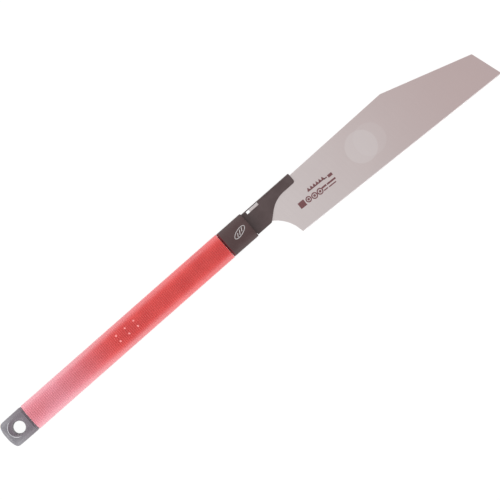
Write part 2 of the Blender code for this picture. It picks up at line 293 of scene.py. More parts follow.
def wearGroup():
    # where corners are rubbed bright: a rounded normal against the true one, broken up by noise
    tree, into, out = newGroup("edgeWear", [
        ("Vector", "NodeSocketVector", None),
        ("Width", "NodeSocketFloat", 0.0004),
        ("Spread", "NodeSocketFloat", 500.0),
    ], [("Mask", "NodeSocketFloat")])
    rounded = node(tree, "Bevel", {"Radius": into.outputs[1]}, samples=groupLook["bevelSamples"])
    true = node(tree, "NewGeometry")
    same = node(tree, "VectorMath", {0: rounded.outputs[0], 1: true.outputs["Normal"]},
                operation="DOT_PRODUCT")
    edge = remap(tree, same.outputs["Value"], *groupLook["cornerBand"])
    breakup = remap(tree, noise(tree, into.outputs[0], into.outputs[2], "detail"), *groupLook["wearBand"])
    tree.links.new(maths(tree, "MULTIPLY", edge, breakup), out.inputs[0])
    return tree


def flankGroup():
    # a mask that grows down both sides of the handle
    tree, into, out = newGroup("flankMask", [
        ("Vector", "NodeSocketVector", None),
        ("Centreline", "NodeSocketFloat", 0.0),
        ("Start", "NodeSocketFloat", 0.005),
        ("End", "NodeSocketFloat", 0.015),
    ], [("Mask", "NodeSocketFloat")])
    sideways = node(tree, "SeparateXYZ", {0: into.outputs[0]}).outputs[1]
    away = maths(tree, "ABSOLUTE", maths(tree, "SUBTRACT", sideways, into.outputs[1]))
    tree.links.new(remap(tree, away, into.outputs[2], into.outputs[3]), out.inputs[0])
    return tree


def roundGroup():
    # a mask by the distance from a line that stands on the piece
    tree, into, out = newGroup("roundMask", [
        ("Vector", "NodeSocketVector", None),
        ("Centre", "NodeSocketVector", None),
        ("Start", "NodeSocketFloat", 0.01),
        ("End", "NodeSocketFloat", 0.011),
    ], [("Mask", "NodeSocketFloat")])
    flat = node(tree, "VectorMath", {0: into.outputs[0], 1: (1.0, 1.0, 0.0)}, operation="MULTIPLY")
    away = node(tree, "VectorMath", {0: flat.outputs[0], 1: into.outputs[1]}, operation="DISTANCE")
    tree.links.new(remap(tree, away.outputs["Value"], into.outputs[2], into.outputs[3]), out.inputs[0])
    return tree


groups = {
    "grain": grainGroup(), "ground": brushedGroup(), "wear": wearGroup(),
    "flank": flankGroup(), "round": roundGroup(),
}
print("node groups made")


def placeGroup(tree, key, inputs):
    made = tree.nodes.new("ShaderNodeGroup")
    made.node_tree = groups[key]
    for name, value in inputs.items():
        if isinstance(value, bpy.types.NodeSocket):
            tree.links.new(value, made.inputs[name])
        else:
            made.inputs[name].default_value = value
    return made.outputs


def grainOf(tree, place, look):
    return placeGroup(tree, "grain", {
        "Vector": place, "Grain Scale": look["grain"], "Cloud Scale": look["cloud"],
    })


def wearOf(tree, place, look):
    return placeGroup(tree, "wear", {
        "Vector": place, "Width": look["wearWidth"], "Spread": look["wearSpread"],
    })[0]


def flankOf(tree, place, start, end):
    # start and end in millimetres from the handle's centreline
    return placeGroup(tree, "flank", {
        "Vector": place, "Centreline": axisY, "Start": start * millimetre, "End": end * millimetre,
    })[0]


def discOf(tree, place, centre, start, end):
    return placeGroup(tree, "round", {"Vector": place, "Centre": centre, "Start": start, "End": end})[0]


def newMaterial(name, **fixed):
    # a material whose even values are set on the shader's own sockets
    material = bpy.data.materials.new(name)
    material.use_nodes = True
    tree = material.node_tree
    shader = tree.nodes["Principled BSDF"]
    for key, value in fixed.items():
        shader.inputs[key.replace("_", " ")].default_value = value
    place = node(tree, "TexCoord").outputs["Object"]
    return material, tree, shader, place


def bump(tree, shader, height, distance, strength):
    made = node(tree, "Bump", {"Height": height, "Distance": distance, "Strength": strength})
    tree.links.new(made.outputs[0], shader.inputs["Normal"])


def feed(tree, shader, **links):
    for key, socket in links.items():
        tree.links.new(socket, shader.inputs[key.replace("_", " ")])


# ---- materials

bladeFinish = {
    # painted light and shade: the steel's colour at the holder end and at the tip, and where the change
    # starts and ends
    "litHolderEnd": (0.770, 0.690, 0.684), "shadedTipEnd": (0.700, 0.555, 0.547), "bladeShadeStart": 0.04, "bladeShadeEnd": 0.29,
    "stain": (0.42, 0.36, 0.36), "stainShare": 0.05, "grain": 4000.0, "cloud": 18.0,
    # the ground lines: their turn in degrees, fineness, stretch, depth and strength
    "lineTurn": 84, "lineFineness": 9000.0, "lineStretch": 40.0, "lineDepth": 0.000003, "lineStrength": 0.3,
    "roughness": (0.29, 0.33),
    # the two faint discs of painted reflection: place from the butt and centreline, shift of the second,
    # radius, share of each
    "reflectionTone": (0.90, 0.84, 0.84), "markPlace": (451, -15), "secondReflection": 11, "reflectionRadius": 16.5,
    "reflectionEdge": 0.05, "reflectionShare": (0.30, 0.14),
}


def bladeSteel():
    # fine cross-ground spring steel with painted light and shade, lighter at the holder and darker and
    # warmer to the tip, and two faint discs of painted reflection on it
    look = bladeFinish
    material, tree, shader, place = newMaterial("groundBladeSteel", Metallic=1.0)
    ground = placeGroup(tree, "ground", {
        "Vector": place, "Turn": math.radians(look["lineTurn"]), "Fineness": look["lineFineness"],
        "Stretch": look["lineStretch"],
    })
    cloudy = grainOf(tree, place, look)
    along = node(tree, "SeparateXYZ", {0: place}).outputs[0]
    # painted shade: the steel darkens and warms from the holder to the tip
    paintedShade = remap(tree, along, look["bladeShadeStart"], look["bladeShadeEnd"])
    color = blendColors(tree, paintedShade, look["litHolderEnd"], look["shadedTipEnd"])
    tone = maths(tree, "MULTIPLY", maths(tree, "ADD", cloudy[1], ground[1]), 0.5)  # mean of the two masks
    color = blendColors(tree, remap(tree, tone, 0.0, 1.0, 0.0, look["stainShare"]), color, look["stain"])
    # two faint discs of painted reflection, paler on the steel
    x, y = look["markPlace"]
    radius, edge = look["reflectionRadius"] * millimetre, look["reflectionEdge"]
    for shift, share in zip((0, look["secondReflection"]), look["reflectionShare"]):
        reflectionDisc = discOf(tree, place, fromButt(x + shift, y), radius * (1 + edge), radius * (1 - edge))
        color = blendColors(tree, maths(tree, "MULTIPLY", reflectionDisc, share), color, look["reflectionTone"])
    feed(tree, shader, Base_Color=color, Roughness=remap(tree, ground[1], 0.0, 1.0, *look["roughness"]))
    bump(tree, shader, ground[0], look["lineDepth"], look["lineStrength"])
    return material


coatFinish = {
    "dark": (0.072, 0.044, 0.044), "light": (0.088, 0.058, 0.058), "bare": (0.24, 0.22, 0.21),
    "grain": 2600.0, "cloud": 90.0, "grainDepth": 0.00003, "grainStrength": 0.3,
    "wearWidth": 0.0005, "wearSpread": 700.0, "wearShare": 0.5, "roughness": (0.34, 0.46),
}


def coatedSteel():
    # baked black coating, rubbed through to the steel on its corners
    look = coatFinish
    material, tree, shader, place = newMaterial("blackCoatedSteel")
    grain = grainOf(tree, place, look)
    worn = wearOf(tree, place, look)
    bare = maths(tree, "MULTIPLY", worn, look["wearShare"])
    color = blendColors(tree, grain[1], look["dark"], look["light"])
    color = blendColors(tree, bare, color, look["bare"])
    rough = remap(tree, grain[1], 0.0, 1.0, *look["roughness"])
    feed(tree, shader, Base_Color=color, Roughness=rough, Metallic=bare)
    bump(tree, shader, grain[0], look["grainDepth"], look["grainStrength"])
    return material


gripFinish = {
    "deep": (0.570, 0.038, 0.036), "clean": (0.630, 0.050, 0.046), "grain": 1800.0, "cloud": 45.0,
    "grainDepth": 0.00003, "grainStrength": 0.3, "roughness": (0.42, 0.52),
    "sheen": 1.0, "sheenRoughness": 0.3, "sheenTint": (1.0, 0.86, 0.86, 1.0),
    # painted glare that pales the rubber toward the butt, in millimetres from the butt, and how even it is
    "paintedGlare": (0.640, 0.190, 0.235), "glareStart": 150, "glareEnd": 60, "glareEvenness": 0.88,
    # painted light: lighter flanks, in millimetres from the centreline
    "flank": (1.10, 1.22, 1.22), "flankStart": 1.5, "flankEnd": 7.5,
    # painted sheen, pale far down the sides; its share grows toward the butt
    "paintedSheen": (0.720, 0.430, 0.470), "sideStart": 6.0, "sideEnd": 14.5, "sideShare": (0.18, 0.40),
    "paintedSheenStart": 265, "paintedSheenEnd": 120,
}


def redElastomer():
    # soft red rubber with painted glare that pales it toward the butt, painted light down its flanks and
    # painted sheen far down its sides
    look = gripFinish
    material, tree, shader, place = newMaterial(
        "redElastomer", Sheen_Weight=look["sheen"], Sheen_Roughness=look["sheenRoughness"],
        Sheen_Tint=look["sheenTint"])
    grain = grainOf(tree, place, look)
    color = blendColors(tree, grain[1], look["deep"], look["clean"])
    along = node(tree, "SeparateXYZ", {0: place}).outputs[0]
    # painted glare: the red pales toward the butt
    glare = remap(tree, along, fromButt(look["glareStart"], 0).x, fromButt(look["glareEnd"], 0).x)
    evenness = remap(tree, grain[1], 0.0, 1.0, look["glareEvenness"], 1.0)
    color = blendColors(tree, maths(tree, "MULTIPLY", glare, evenness), color, look["paintedGlare"])
    # painted light: the red is lighter down both flanks
    flank = flankOf(tree, place, look["flankStart"], look["flankEnd"])
    color = blendColors(tree, flank, color, look["flank"], "MULTIPLY")
    # painted sheen: a pale colour far down both sides, more toward the butt
    side = flankOf(tree, place, look["sideStart"], look["sideEnd"])
    paintedSheenStart, paintedSheenEnd = fromButt(look["paintedSheenStart"], 0).x, fromButt(look["paintedSheenEnd"], 0).x
    paintedSheenShare = remap(tree, along, paintedSheenStart, paintedSheenEnd, *look["sideShare"])
    color = blendColors(tree, maths(tree, "MULTIPLY", side, paintedSheenShare), color, look["paintedSheen"])
    feed(tree, shader, Base_Color=color, Roughness=remap(tree, grain[1], 0.0, 1.0, *look["roughness"]))
    bump(tree, shader, grain[0], look["grainDepth"], look["grainStrength"])
    return material


# glossy red studs whose paler pink colour is partly a painted highlight
studFinish = {
    "dark": (0.88, 0.24, 0.24), "light": (0.95, 0.34, 0.33), "grain": 3000.0, "cloud": 300.0,
    "roughness": (0.16, 0.26), "coat": 0.6, "coatRoughness": 0.08,
}


def glossyRed():
    look = studFinish
    material, tree, shader, place = newMaterial(
        "glossyRedStudPaintedHighlight", Coat_Weight=look["coat"], Coat_Roughness=look["coatRoughness"])
    grain = grainOf(tree, place, look)
    feed(tree, shader, Base_Color=blendColors(tree, grain[1], look["dark"], look["light"]))
    feed(tree, shader, Roughness=remap(tree, grain[1], 0.0, 1.0, *look["roughness"]))
    return material


plasticFinish = {
    "grain": 3200.0, "cloud": 55.0, "grainDepth": 0.00003, "grainStrength": 0.35,
    "wearWidth": 0.0005, "wearSpread": 400.0, "wearShare": 0.2, "wearLift": 3,
    # painted shade down the sides: its colour, and where it starts and is full
    "flank": (0.78, 0.78, 0.78), "flankStart": 4, "flankEnd": 13,
}

# a tinge is a second colour of painted light that grows along the handle, in millimetres from the butt
ferruleFinish = {
    "dark": (0.086, 0.052, 0.052), "light": (0.100, 0.063, 0.063), "roughness": (0.44, 0.54),
    # painted shade and red reflection: a dark red band where the ferrule meets the grip
    "paintedLightTone": (0.15, 0.020, 0.026), "paintedLightStart": 288.4, "paintedLightEnd": 287.6, "specular": 0.15,
}

capFinish = {
    # painted glare: the cap's black plastic is given a grey colour, and a paler one toward the butt
    "dark": (0.168, 0.140, 0.166), "light": (0.188, 0.158, 0.184), "roughness": (0.40, 0.50),
    "paintedLightTone": (0.205, 0.197, 0.218), "paintedLightStart": 26, "paintedLightEnd": 3, "specular": 0.5,
}

# the shallow dish round the hang hole: its place from the butt and centreline, the radii of the painted
# highlight on its lip, its width of edge, and how far to the butt side the painted highlight starts and is
# full
capDish = {
    "place": (14.7, 0.9), "lipHighlight": (9.0, 9.6), "soft": 0.2, "highlightStart": 1, "highlightEnd": 6,
    "paintedLipHighlight": (0.75, 0.74, 0.77), "highlightEvenness": 0.75,
}


def dishMasks(tree, place, along, patches):
    # what lies outside the dish, where the painted glare falls, and the painted highlight on its lip
    dish = capDish
    inner, outer = (radius * millimetre for radius in dish["lipHighlight"])
    soft = dish["soft"] * millimetre
    centre = fromButt(*dish["place"])
    bands = ((inner - soft, inner), (inner - soft, inner + soft), (outer + soft, outer - soft))
    outside, pastInner, withinOuter = (discOf(tree, place, centre, *band) for band in bands)
    towardButt = remap(tree, along, centre.x - dish["highlightStart"] * millimetre,
                       centre.x - dish["highlightEnd"] * millimetre)
    # painted highlight: a pale arc on the lip, on the butt side only
    lipHighlight = maths(tree, "MULTIPLY", maths(tree, "MULTIPLY", pastInner, withinOuter), towardButt)
    evenness = remap(tree, patches, 0.0, 1.0, dish["highlightEvenness"], 1.0)
    return outside, maths(tree, "MULTIPLY", lipHighlight, evenness)


def mouldedPlastic(name, look, dished=False):
    # satin moulded plastic with painted light along the handle and painted shade down its sides
    common = plasticFinish
    material, tree, shader, place = newMaterial(name, Specular_IOR_Level=look["specular"])
    grain = grainOf(tree, place, common)
    worn = wearOf(tree, place, common)
    # painted shade: darker down both sides
    flank = flankOf(tree, place, common["flankStart"], common["flankEnd"])
    color = blendColors(tree, grain[1], look["dark"], look["light"])
    color = blendColors(tree, flank, color, common["flank"], "MULTIPLY")
    along = node(tree, "SeparateXYZ", {0: place}).outputs[0]
    # painted light: the second colour grows along the handle
    share = remap(tree, along, fromButt(look["paintedLightStart"], 0).x, fromButt(look["paintedLightEnd"], 0).x)
    if dished:
        outside, lipHighlight = dishMasks(tree, place, along, grain[1])
        # painted glare on the cap, kept out of the dish
        color = blendColors(tree, maths(tree, "MULTIPLY", share, outside), color, look["paintedLightTone"])
        # painted highlight on the dish's lip
        color = blendColors(tree, lipHighlight, color, capDish["paintedLipHighlight"])
    else:
        color = blendColors(tree, share, color, look["paintedLightTone"])
    lifted = tuple(common["wearLift"] * part for part in look["light"])
    color = blendColors(tree, maths(tree, "MULTIPLY", worn, common["wearShare"]), color, lifted)
    feed(tree, shader, Base_Color=color, Roughness=remap(tree, grain[1], 0.0, 1.0, *look["roughness"]))
    bump(tree, shader, grain[0], common["grainDepth"], common["grainStrength"])
    return material


inkFinish = {
    "grain": 5000.0, "cloud": 900.0, "roughness": (0.50, 0.65),
    "brown": ((0.150, 0.052, 0.057), (0.195, 0.076, 0.080)),
    "white": ((0.50, 0.47, 0.47), (0.64, 0.61, 0.61)),
}


def printedInk(name, shade):
    look = inkFinish
    material, tree, shader, place = newMaterial(name)
    grain = grainOf(tree, place, look)
    feed(tree, shader, Base_Color=blendColors(tree, grain[1], *look[shade]))
    feed(tree, shader, Roughness=remap(tree, grain[0], 0.0, 1.0, *look["roughness"]))
    return material


woodFinish = {
    "pale": (0.58, 0.42, 0.25), "dark": (0.42, 0.27, 0.14), "roughness": 0.6, "stretch": 14.0,
    "rings": 160.0, "distortion": 5.0, "detail": 3.0, "depth": 0.00005, "strength": 0.3,
}


def planedWood():
    look = woodFinish
    material, tree, shader, place = newMaterial("planedWood", Roughness=look["roughness"])
    parts = node(tree, "SeparateXYZ", {0: place})
    squeezed = maths(tree, "DIVIDE", parts.outputs[0], look["stretch"])
    stretched = node(tree, "CombineXYZ", {0: squeezed, 1: parts.outputs[1], 2: parts.outputs[2]})
    rings = node(tree, "TexWave", {
        "Vector": stretched.outputs[0], "Scale": look["rings"], "Distortion": look["distortion"],
        "Detail": look["detail"],
    }, bands_direction="Y")
    feed(tree, shader, Base_Color=blendColors(tree, rings.outputs[1], look["pale"], look["dark"]))
    bump(tree, shader, rings.outputs[1], look["depth"], look["strength"])
    return material


brightFinish = {
    "dark": (0.52, 0.52, 0.52), "light": (0.66, 0.66, 0.65), "roughness": (0.20, 0.34),
    "lineFineness": 6000.0, "lineStretch": 20.0, "lineDepth": 0.000005, "lineStrength": 0.5,
}


def brightSteel():
    look = brightFinish
    material, tree, shader, place = newMaterial("brightSteel", Metallic=1.0)
    ground = placeGroup(tree, "ground", {
        "Vector": place, "Fineness": look["lineFineness"], "Stretch": look["lineStretch"],
    })
    feed(tree, shader, Base_Color=blendColors(tree, ground[1], look["dark"], look["light"]))
    feed(tree, shader, Roughness=remap(tree, ground[1], 0.0, 1.0, *look["roughness"]))
    bump(tree, shader, ground[0], look["lineDepth"], look["lineStrength"])
    return material


floorFinish = {
    "sheet": ((0.075, 0.075, 0.075), (0.085, 0.085, 0.085)), "roughness": (0.85, 0.95),
    "glow": ((0.95, 0.95, 0.95), (0.96, 0.96, 0.96)), "strength": 1.0, "grain": 900.0, "cloud": 4.0,
}


def backlitFloor():
    # white acrylic sheet lit softly from behind, so that nothing throws a hard shadow on it
    look = floorFinish
    material, tree, shader, place = newMaterial(
        "backlitFloor", Specular_IOR_Level=0.0, Emission_Strength=look["strength"])
    grain = grainOf(tree, place, look)
    feed(tree, shader, Base_Color=blendColors(tree, grain[1], *look["sheet"]))
    feed(tree, shader, Emission_Color=blendColors(tree, grain[1], *look["glow"]))
    feed(tree, shader, Roughness=remap(tree, grain[0], 0.0, 1.0, *look["roughness"]))
    return material


finishes = {
    "blade": bladeSteel(), "coated": coatedSteel(), "red": redElastomer(), "stud": glossyRed(),
    "black": mouldedPlastic("blackPlastic", ferruleFinish),
    "capWithGlare": mouldedPlastic("capPlasticWithPaintedGlare", capFinish, dished=True),
    "ink": printedInk("brownInk", "brown"), "white": printedInk("whiteInk", "white"),
    "wood": planedWood(), "bright": brightSteel(), "floor": backlitFloor(),
}
print("materials made")


# ---- handle pieces, drawn through the CAD pieces' own outline

outlineLook = {"side": 0.001 * millimetre, "longEdge": 3 * millimetre, "cuts": 5}
# corners of the round cutters and of the round printing
corners = {"plug": 64, "hole": 96, "ring": 40, "dot": 16, "triangle": 3}


def outlineRing(nodeName, name, place):
    # the outer outline of a CAD piece where a plane across the handle cuts it, as one loop of edges
    piece = copyNode(nodeName, name)
    startEdit(piece, "VERT")
    bpy.ops.mesh.select_all(action="SELECT")
    bpy.ops.mesh.bisect(plane_co=(place, 0, 0), plane_no=(1, 0, 0), clear_inner=True, clear_outer=True)
    shape = bmesh.from_edit_mesh(piece.data)
    widest = max(vert.co.y for vert in shape.verts)
    pick(piece, "verts", lambda vert: vert.co.y > widest - outlineLook["side"])
    bpy.ops.mesh.select_linked()
    bpy.ops.mesh.select_all(action="INVERT")
    bpy.ops.mesh.delete(type="VERT")
    pick(piece, "edges", lambda edge: edge.calc_length() > outlineLook["longEdge"])
    bpy.ops.mesh.subdivide(number_cuts=outlineLook["cuts"])
    endEdit()
    return piece


def ringSize(piece):
    ys = [vert.co.y for vert in piece.data.vertices]
    zs = [vert.co.z for vert in piece.data.vertices]
    return max(ys) - min(ys), max(zs) - min(zs)


def loftAlong(piece, stations):
    # runs the selected loop through stations of (x, width, thickness)
    width, thickness = ringSize(piece)
    startEdit(piece, "EDGE")
    bpy.ops.mesh.select_all(action="SELECT")
    here = piece.data.vertices[0].co.x
    centre = Vector((here, axisY, midZ))
    first = True
    for x, newWidth, newThickness in stations:
        if first:
            bpy.ops.transform.translate(value=(x - here, 0, 0))
        else:
            bpy.ops.mesh.extrude_region_move(TRANSFORM_OT_translate={"value": (x - here, 0, 0)})
        centre.x = here = x
        scale = (1, newWidth / width, newThickness / thickness)
        bpy.ops.transform.resize(value=scale, center_override=centre)
        width, thickness, first = newWidth, newThickness, False
    endEdit()


def openAt(edge, x):
    # whether an edge is open and lies at the place x along the handle
    return edge.is_boundary and abs(edge.verts[0].co.x - x) < endTolerance


gripLook = {
    "outlineFrom": 50 * millimetre, "ribPitch": 2.1 * millimetre, "ribDepth": 0.45 * millimetre,
    "shoulder": 0.25, "wall": 1.6 * millimetre, "overrun": 0.25 * millimetre, "weld": 0.02 * millimetre,
    # studs: rows across and columns along in millimetres, then their dome and how far it reaches down
    "studRows": (4.4, -2.4), "studColumns": (147.4, 158.7, 170.0),
    "studRadius": 1.05 * millimetre, "studRise": 0.45 * millimetre, "studSink": 0.2 * millimetre,
    "studFoot": 0.3 * millimetre, "studSegments": 24, "studRings": 16,
}


def makeGrip():
    look = gripLook
    low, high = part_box("grip_sleeve")
    top = 2 * midZ
    grip = outlineRing("grip_sleeve", "ribbedGrip", low.x + look["outlineFrom"])
    width = ringSize(grip)[0]
    # soft ends pressed up against the cap and the ferrule
    start, end = low.x - look["overrun"], high.x + look["overrun"]
    ribs = round((end - start) / look["ribPitch"])
    pitch = (end - start) / ribs
    depth = 2 * look["ribDepth"]
    valley, crest = (width - depth, top - depth), (width, top)
    loftAlong(grip, [
        (start, *valley),
        (start + pitch * look["shoulder"], *crest),
        (start + pitch * (1 - look["shoulder"]), *crest),
        (start + pitch, *valley),
    ])
    repeatAlong(grip, ribs, pitch, use_merge_vertices=True, merge_threshold=look["weld"])
    inward = 1 - 2 * look["wall"] / width
    for side in (start, end):
        startEdit(grip, "EDGE")
        pick(grip, "edges", lambda edge: openAt(edge, side))
        bpy.ops.mesh.extrude_region_move()
        bpy.ops.transform.resize(value=(1, inward, inward), center_override=(side, axisY, midZ))
        endEdit()
    startEdit(grip, "EDGE")
    pick(grip, "edges", lambda edge: edge.is_boundary)
    bpy.ops.mesh.bridge_edge_loops()
    endEdit()
    outwards(grip)
    roundOff(grip)
    smooth(grip, 80)
    finishPiece(grip, "handle", finishes["red"], ["grip_sleeve"])


def makeStuds():
    look = gripLook
    studs = []
    for across in look["studRows"]:
        for along in look["studColumns"]:
            place = fromButt(along, across, 2 * midZ - look["studSink"])
            deselectAll()
            bpy.ops.mesh.primitive_uv_sphere_add(
                segments=look["studSegments"], ring_count=look["studRings"], radius=look["studRadius"],
                location=place)
            stud = bpy.context.object
            stud.scale.z = (look["studRise"] + look["studSink"]) / look["studRadius"]
            placeInMesh(stud)
            startEdit(stud)
            bpy.ops.mesh.select_all(action="SELECT")
            bpy.ops.mesh.bisect(plane_co=(0, 0, place.z - look["studFoot"]), plane_no=(0, 0, 1),
                                clear_inner=True, use_fill=True)
            endEdit()
            studs.append(stud)
    whole = joined("gripStuds", studs)
    outwards(whole)
    smooth(whole, 60)
    finishPiece(whole, "handle", finishes["stud"])


makeGrip()
makeStuds()


capLook = {
    # place from the butt, width and thickness, in millimetres
    "outlineFrom": 1.5 * millimetre, "stations": (
        (0.0, 11.0, 9.0), (0.4, 15.2, 12.2), (0.9, 19.2, 14.8), (1.5, 22.8, 16.7), (2.1, 25.2, 17.8),
        (3.0, 27.2, 18.6), (4.2, 28.3, 19.0), (6.0, 28.8, 19.2), (16.0, 28.95, 19.2), (28.0, 29.1, 19.2),
        (28.3, 29.1, 19.2), (28.5, 28.9, 18.8), (28.6, 28.3, 17.2), (30.40, 28.3, 17.2),
        (30.45, 28.3, 17.2),
    ),
    # radius and height above the middle of the cap, for the hole's cutter and for the dish's
    "holePlace": (16.4, -0.2),
    "hole": ((7.1, -9.9), (7.1, -8.3), (6.8, -6.5), (6.4, -4.0), (6.2, -2.0),
             (6.2, 2.0), (6.4, 4.0), (6.8, 6.5), (7.1, 8.3), (7.1, 9.9)),
    "dish": ((6.0, 8.3), (8.8, 9.0), (9.4, 10.0), (9.8, 10.8)), "dishTilt": -4.0,
    # the socket for the wooden core: where it starts, its width and thickness, and the cutter's overrun
    "socket": (24.8, 20.4, 11.4), "overrun": 10 * millimetre,
}


def closeEnds(piece, ends):
    # closes an open tube with a flat face at each end
    startEdit(piece, "EDGE")
    for x in ends:
        pick(piece, "edges", lambda edge: openAt(edge, x))
        bpy.ops.mesh.edge_face_add()
    endEdit()
    outwards(piece)


def loftedBody(nodeName, name, place, stations):
    # a closed body through stations of (place, width, thickness), with its corners rounded off
    low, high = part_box(nodeName)
    piece = outlineRing(nodeName, name, place)
    loftAlong(piece, [(buttX + x * millimetre, y * millimetre, z * millimetre) for x, y, z in stations])
    closeEnds(piece, (low.x, high.x))
    roundOff(piece)
    return piece


def cutBy(piece, cutter):
    placeInMesh(cutter)
    applyModifier(piece, "BOOLEAN", object=cutter, operation="DIFFERENCE", solver="EXACT")
    bpy.data.objects.remove(cutter, do_unlink=True)


def ovalPlug(start, end, width, thickness):
    # an oval rod along the handle that cuts a socket; width and thickness in millimetres
    deselectAll()
    centre = ((start + end) / 2, axisY, midZ)
    bpy.ops.mesh.primitive_cylinder_add(vertices=corners["plug"], radius=0.5, depth=end - start,
                                        location=centre, rotation=(0, math.radians(90), 0))
    plug = bpy.context.object
    plug.scale = (thickness * millimetre, width * millimetre, 1)
    return plug


def turnedPlug(place, profile, tilt=0.0):
    # a round cutter about a line up through the cap, run up through the profile's rings
    radius, height = profile[0]
    centre = fromButt(*place, midZ + height * millimetre)
    deselectAll()
    bpy.ops.mesh.primitive_circle_add(vertices=corners["hole"], radius=radius * millimetre,
                                      fill_type="NGON", location=centre)
    plug = bpy.context.object
    placeInMesh(plug)
    startEdit(plug)
    bpy.ops.mesh.select_all(action="SELECT")
    for wider, higher in profile[1:]:
        rise = (higher - height) * millimetre
        bpy.ops.mesh.extrude_region_move(TRANSFORM_OT_translate={"value": (0, 0, rise)})
        centre.z += rise
        bpy.ops.transform.resize(value=(wider / radius, wider / radius, 1), center_override=centre)
        radius, height = wider, higher
    endEdit()
    outwards(plug)
    plug.matrix_world = (Matrix.Translation(centre) @ Matrix.Rotation(math.radians(tilt), 4, "Y")
                         @ Matrix.Translation(-centre))
    return plug


def makeCap():
    look = capLook
    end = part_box("butt_cap")[1].x
    cap = loftedBody("butt_cap", "buttCap", end - look["outlineFrom"], look["stations"])
    socketStart, width, thickness = look["socket"]
    cutBy(cap, ovalPlug(fromButt(socketStart, 0).x, end + look["overrun"], width, thickness))
    cutBy(cap, turnedPlug(look["holePlace"], look["hole"]))
    below = [(radius, -height) for radius, height in look["dish"]]
    cutBy(cap, turnedPlug(capDish["place"], look["dish"], look["dishTilt"]))
    cutBy(cap, turnedPlug(capDish["place"], below, -look["dishTilt"]))
    smooth(cap, 30)
    finishPiece(cap, "handle", finishes["capWithGlare"], ["butt_cap"])


ferruleLook = {
    # place from the butt, width and thickness, in millimetres
    "outlineFrom": 8 * millimetre, "stations": (
        (286.2, 28.4, 17.0), (286.25, 28.4, 17.0), (287.6, 28.4, 17.0), (287.7, 28.5, 18.7),
        (288.0, 28.6, 19.2), (288.6, 28.6, 19.2), (301.0, 28.6, 19.2), (315.4, 28.6, 19.2),
        (316.0, 28.6, 19.2), (316.6, 28.35, 18.7), (317.3, 27.9, 17.5), (317.5, 27.7, 17.1),
        (317.6, 27.6, 17.0),
    ),
    # the socket for the core: its end, width and thickness
    "socket": (299.8, 23.2, 14.2),
    # the slot for the holder: its start, both sides and gap
    "slot": (299.8, -11.8, 13.1, 4.0),
    "overrun": 10 * millimetre, "slotOverrun": 5 * millimetre,
    # the printed oval and its three slanted strokes, which get shorter to both sides
    "markPlace": (305.5, 0.6), "markSize": (8.0, 3.3), "markTurn": 17.0, "markLine": 0.6,
    "markSink": 0.005 * millimetre, "strokes": (-3.4, 0.0, 3.4), "strokeTurn": 42.0, "strokeLength": 5.2,
    "strokeTaper": 0.35, "strokeWeight": 1.25,
}
inkThickness = 0.02 * millimetre


def makeFerrule():
    look = ferruleLook
    low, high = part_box("front_ferrule")
    ferrule = loftedBody("front_ferrule", "ferrule", low.x + look["outlineFrom"], look["stations"])
    socketEnd, width, thickness = look["socket"]
    cutBy(ferrule, ovalPlug(low.x - look["overrun"], fromButt(socketEnd, 0).x, width, thickness))
    start, bottom, top, gap = look["slot"]
    centre = fromButt(start, (bottom + top) / 2, midZ)
    length = high.x + look["slotOverrun"] - centre.x
    centre.x += length / 2
    deselectAll()
    bpy.ops.mesh.primitive_cube_add(size=1, location=centre)
    slotCutter = bpy.context.object
    slotCutter.scale = (length, (top - bottom) * millimetre, gap * millimetre)
    cutBy(ferrule, slotCutter)
    smooth(ferrule, 40)
    finishPiece(ferrule, "handle", finishes["black"], ["front_ferrule"])


def flatBar(centre, size, turn, z):
    # a thin flat bar of print; sizes and places in millimetres from the butt and the centreline
    deselectAll()
    place = fromButt(*centre, z)
    bpy.ops.mesh.primitive_plane_add(size=1, location=place, rotation=(0, 0, math.radians(turn)))
    bar = bpy.context.object
    bar.scale = (size[0] * millimetre, size[1] * millimetre, 1)
    placeInMesh(bar)
    return bar


def flatRing(centre, radii, line, turn, z):
    deselectAll()
    bpy.ops.mesh.primitive_circle_add(vertices=corners["ring"], radius=1, fill_type="NGON",
                                      location=fromButt(*centre, z), rotation=(0, 0, math.radians(turn)))
    ring = bpy.context.object
    ring.scale = (radii[0] * millimetre, radii[1] * millimetre, 1)
    placeInMesh(ring)
    startEdit(ring)
    bpy.ops.mesh.select_all(action="SELECT")
    bpy.ops.mesh.inset(thickness=line * millimetre)
    bpy.ops.mesh.delete(type="FACE")
    endEdit()
    return ring


def finishPrint(name, bars, body, material):
    whole = joined(name, bars)
    applyModifier(whole, "SOLIDIFY", thickness=inkThickness, offset=1.0)
    finishPiece(whole, body, material)


def makeFerruleMark():
    # a plain oval with three slanted strokes
    look = ferruleLook
    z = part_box("front_ferrule")[1].z - look["markSink"]
    x, y = look["markPlace"]
    turn = look["markTurn"]
    marks = [flatRing((x, y), look["markSize"], look["markLine"], turn, z)]
    for shift in look["strokes"]:
        centre = (x + shift * math.cos(math.radians(turn)), y + shift * math.sin(math.radians(turn)))
        length = look["strokeLength"] - abs(shift) * look["strokeTaper"]
        size = (length, look["markLine"] * look["strokeWeight"])
        marks.append(flatBar(centre, size, turn + look["strokeTurn"], z))
    finishPrint("ferruleMark", marks, "handle", finishes["white"])


makeCap()
makeFerrule()
makeFerruleMark()


# ---- holder and blade

holderLook = {"edge": 0.18 * millimetre, "edgeAngle": 50, "smoothing": 50}


def makeHolder():
    holder = copyNode("blade_holder", "bladeHolder")
    softenEdges(holder, holderLook["edge"], holderLook["edgeAngle"])
    smoothFlat(holder, holderLook["smoothing"])
    finishPiece(holder, "handle", finishes["coated"], ["blade_holder"])


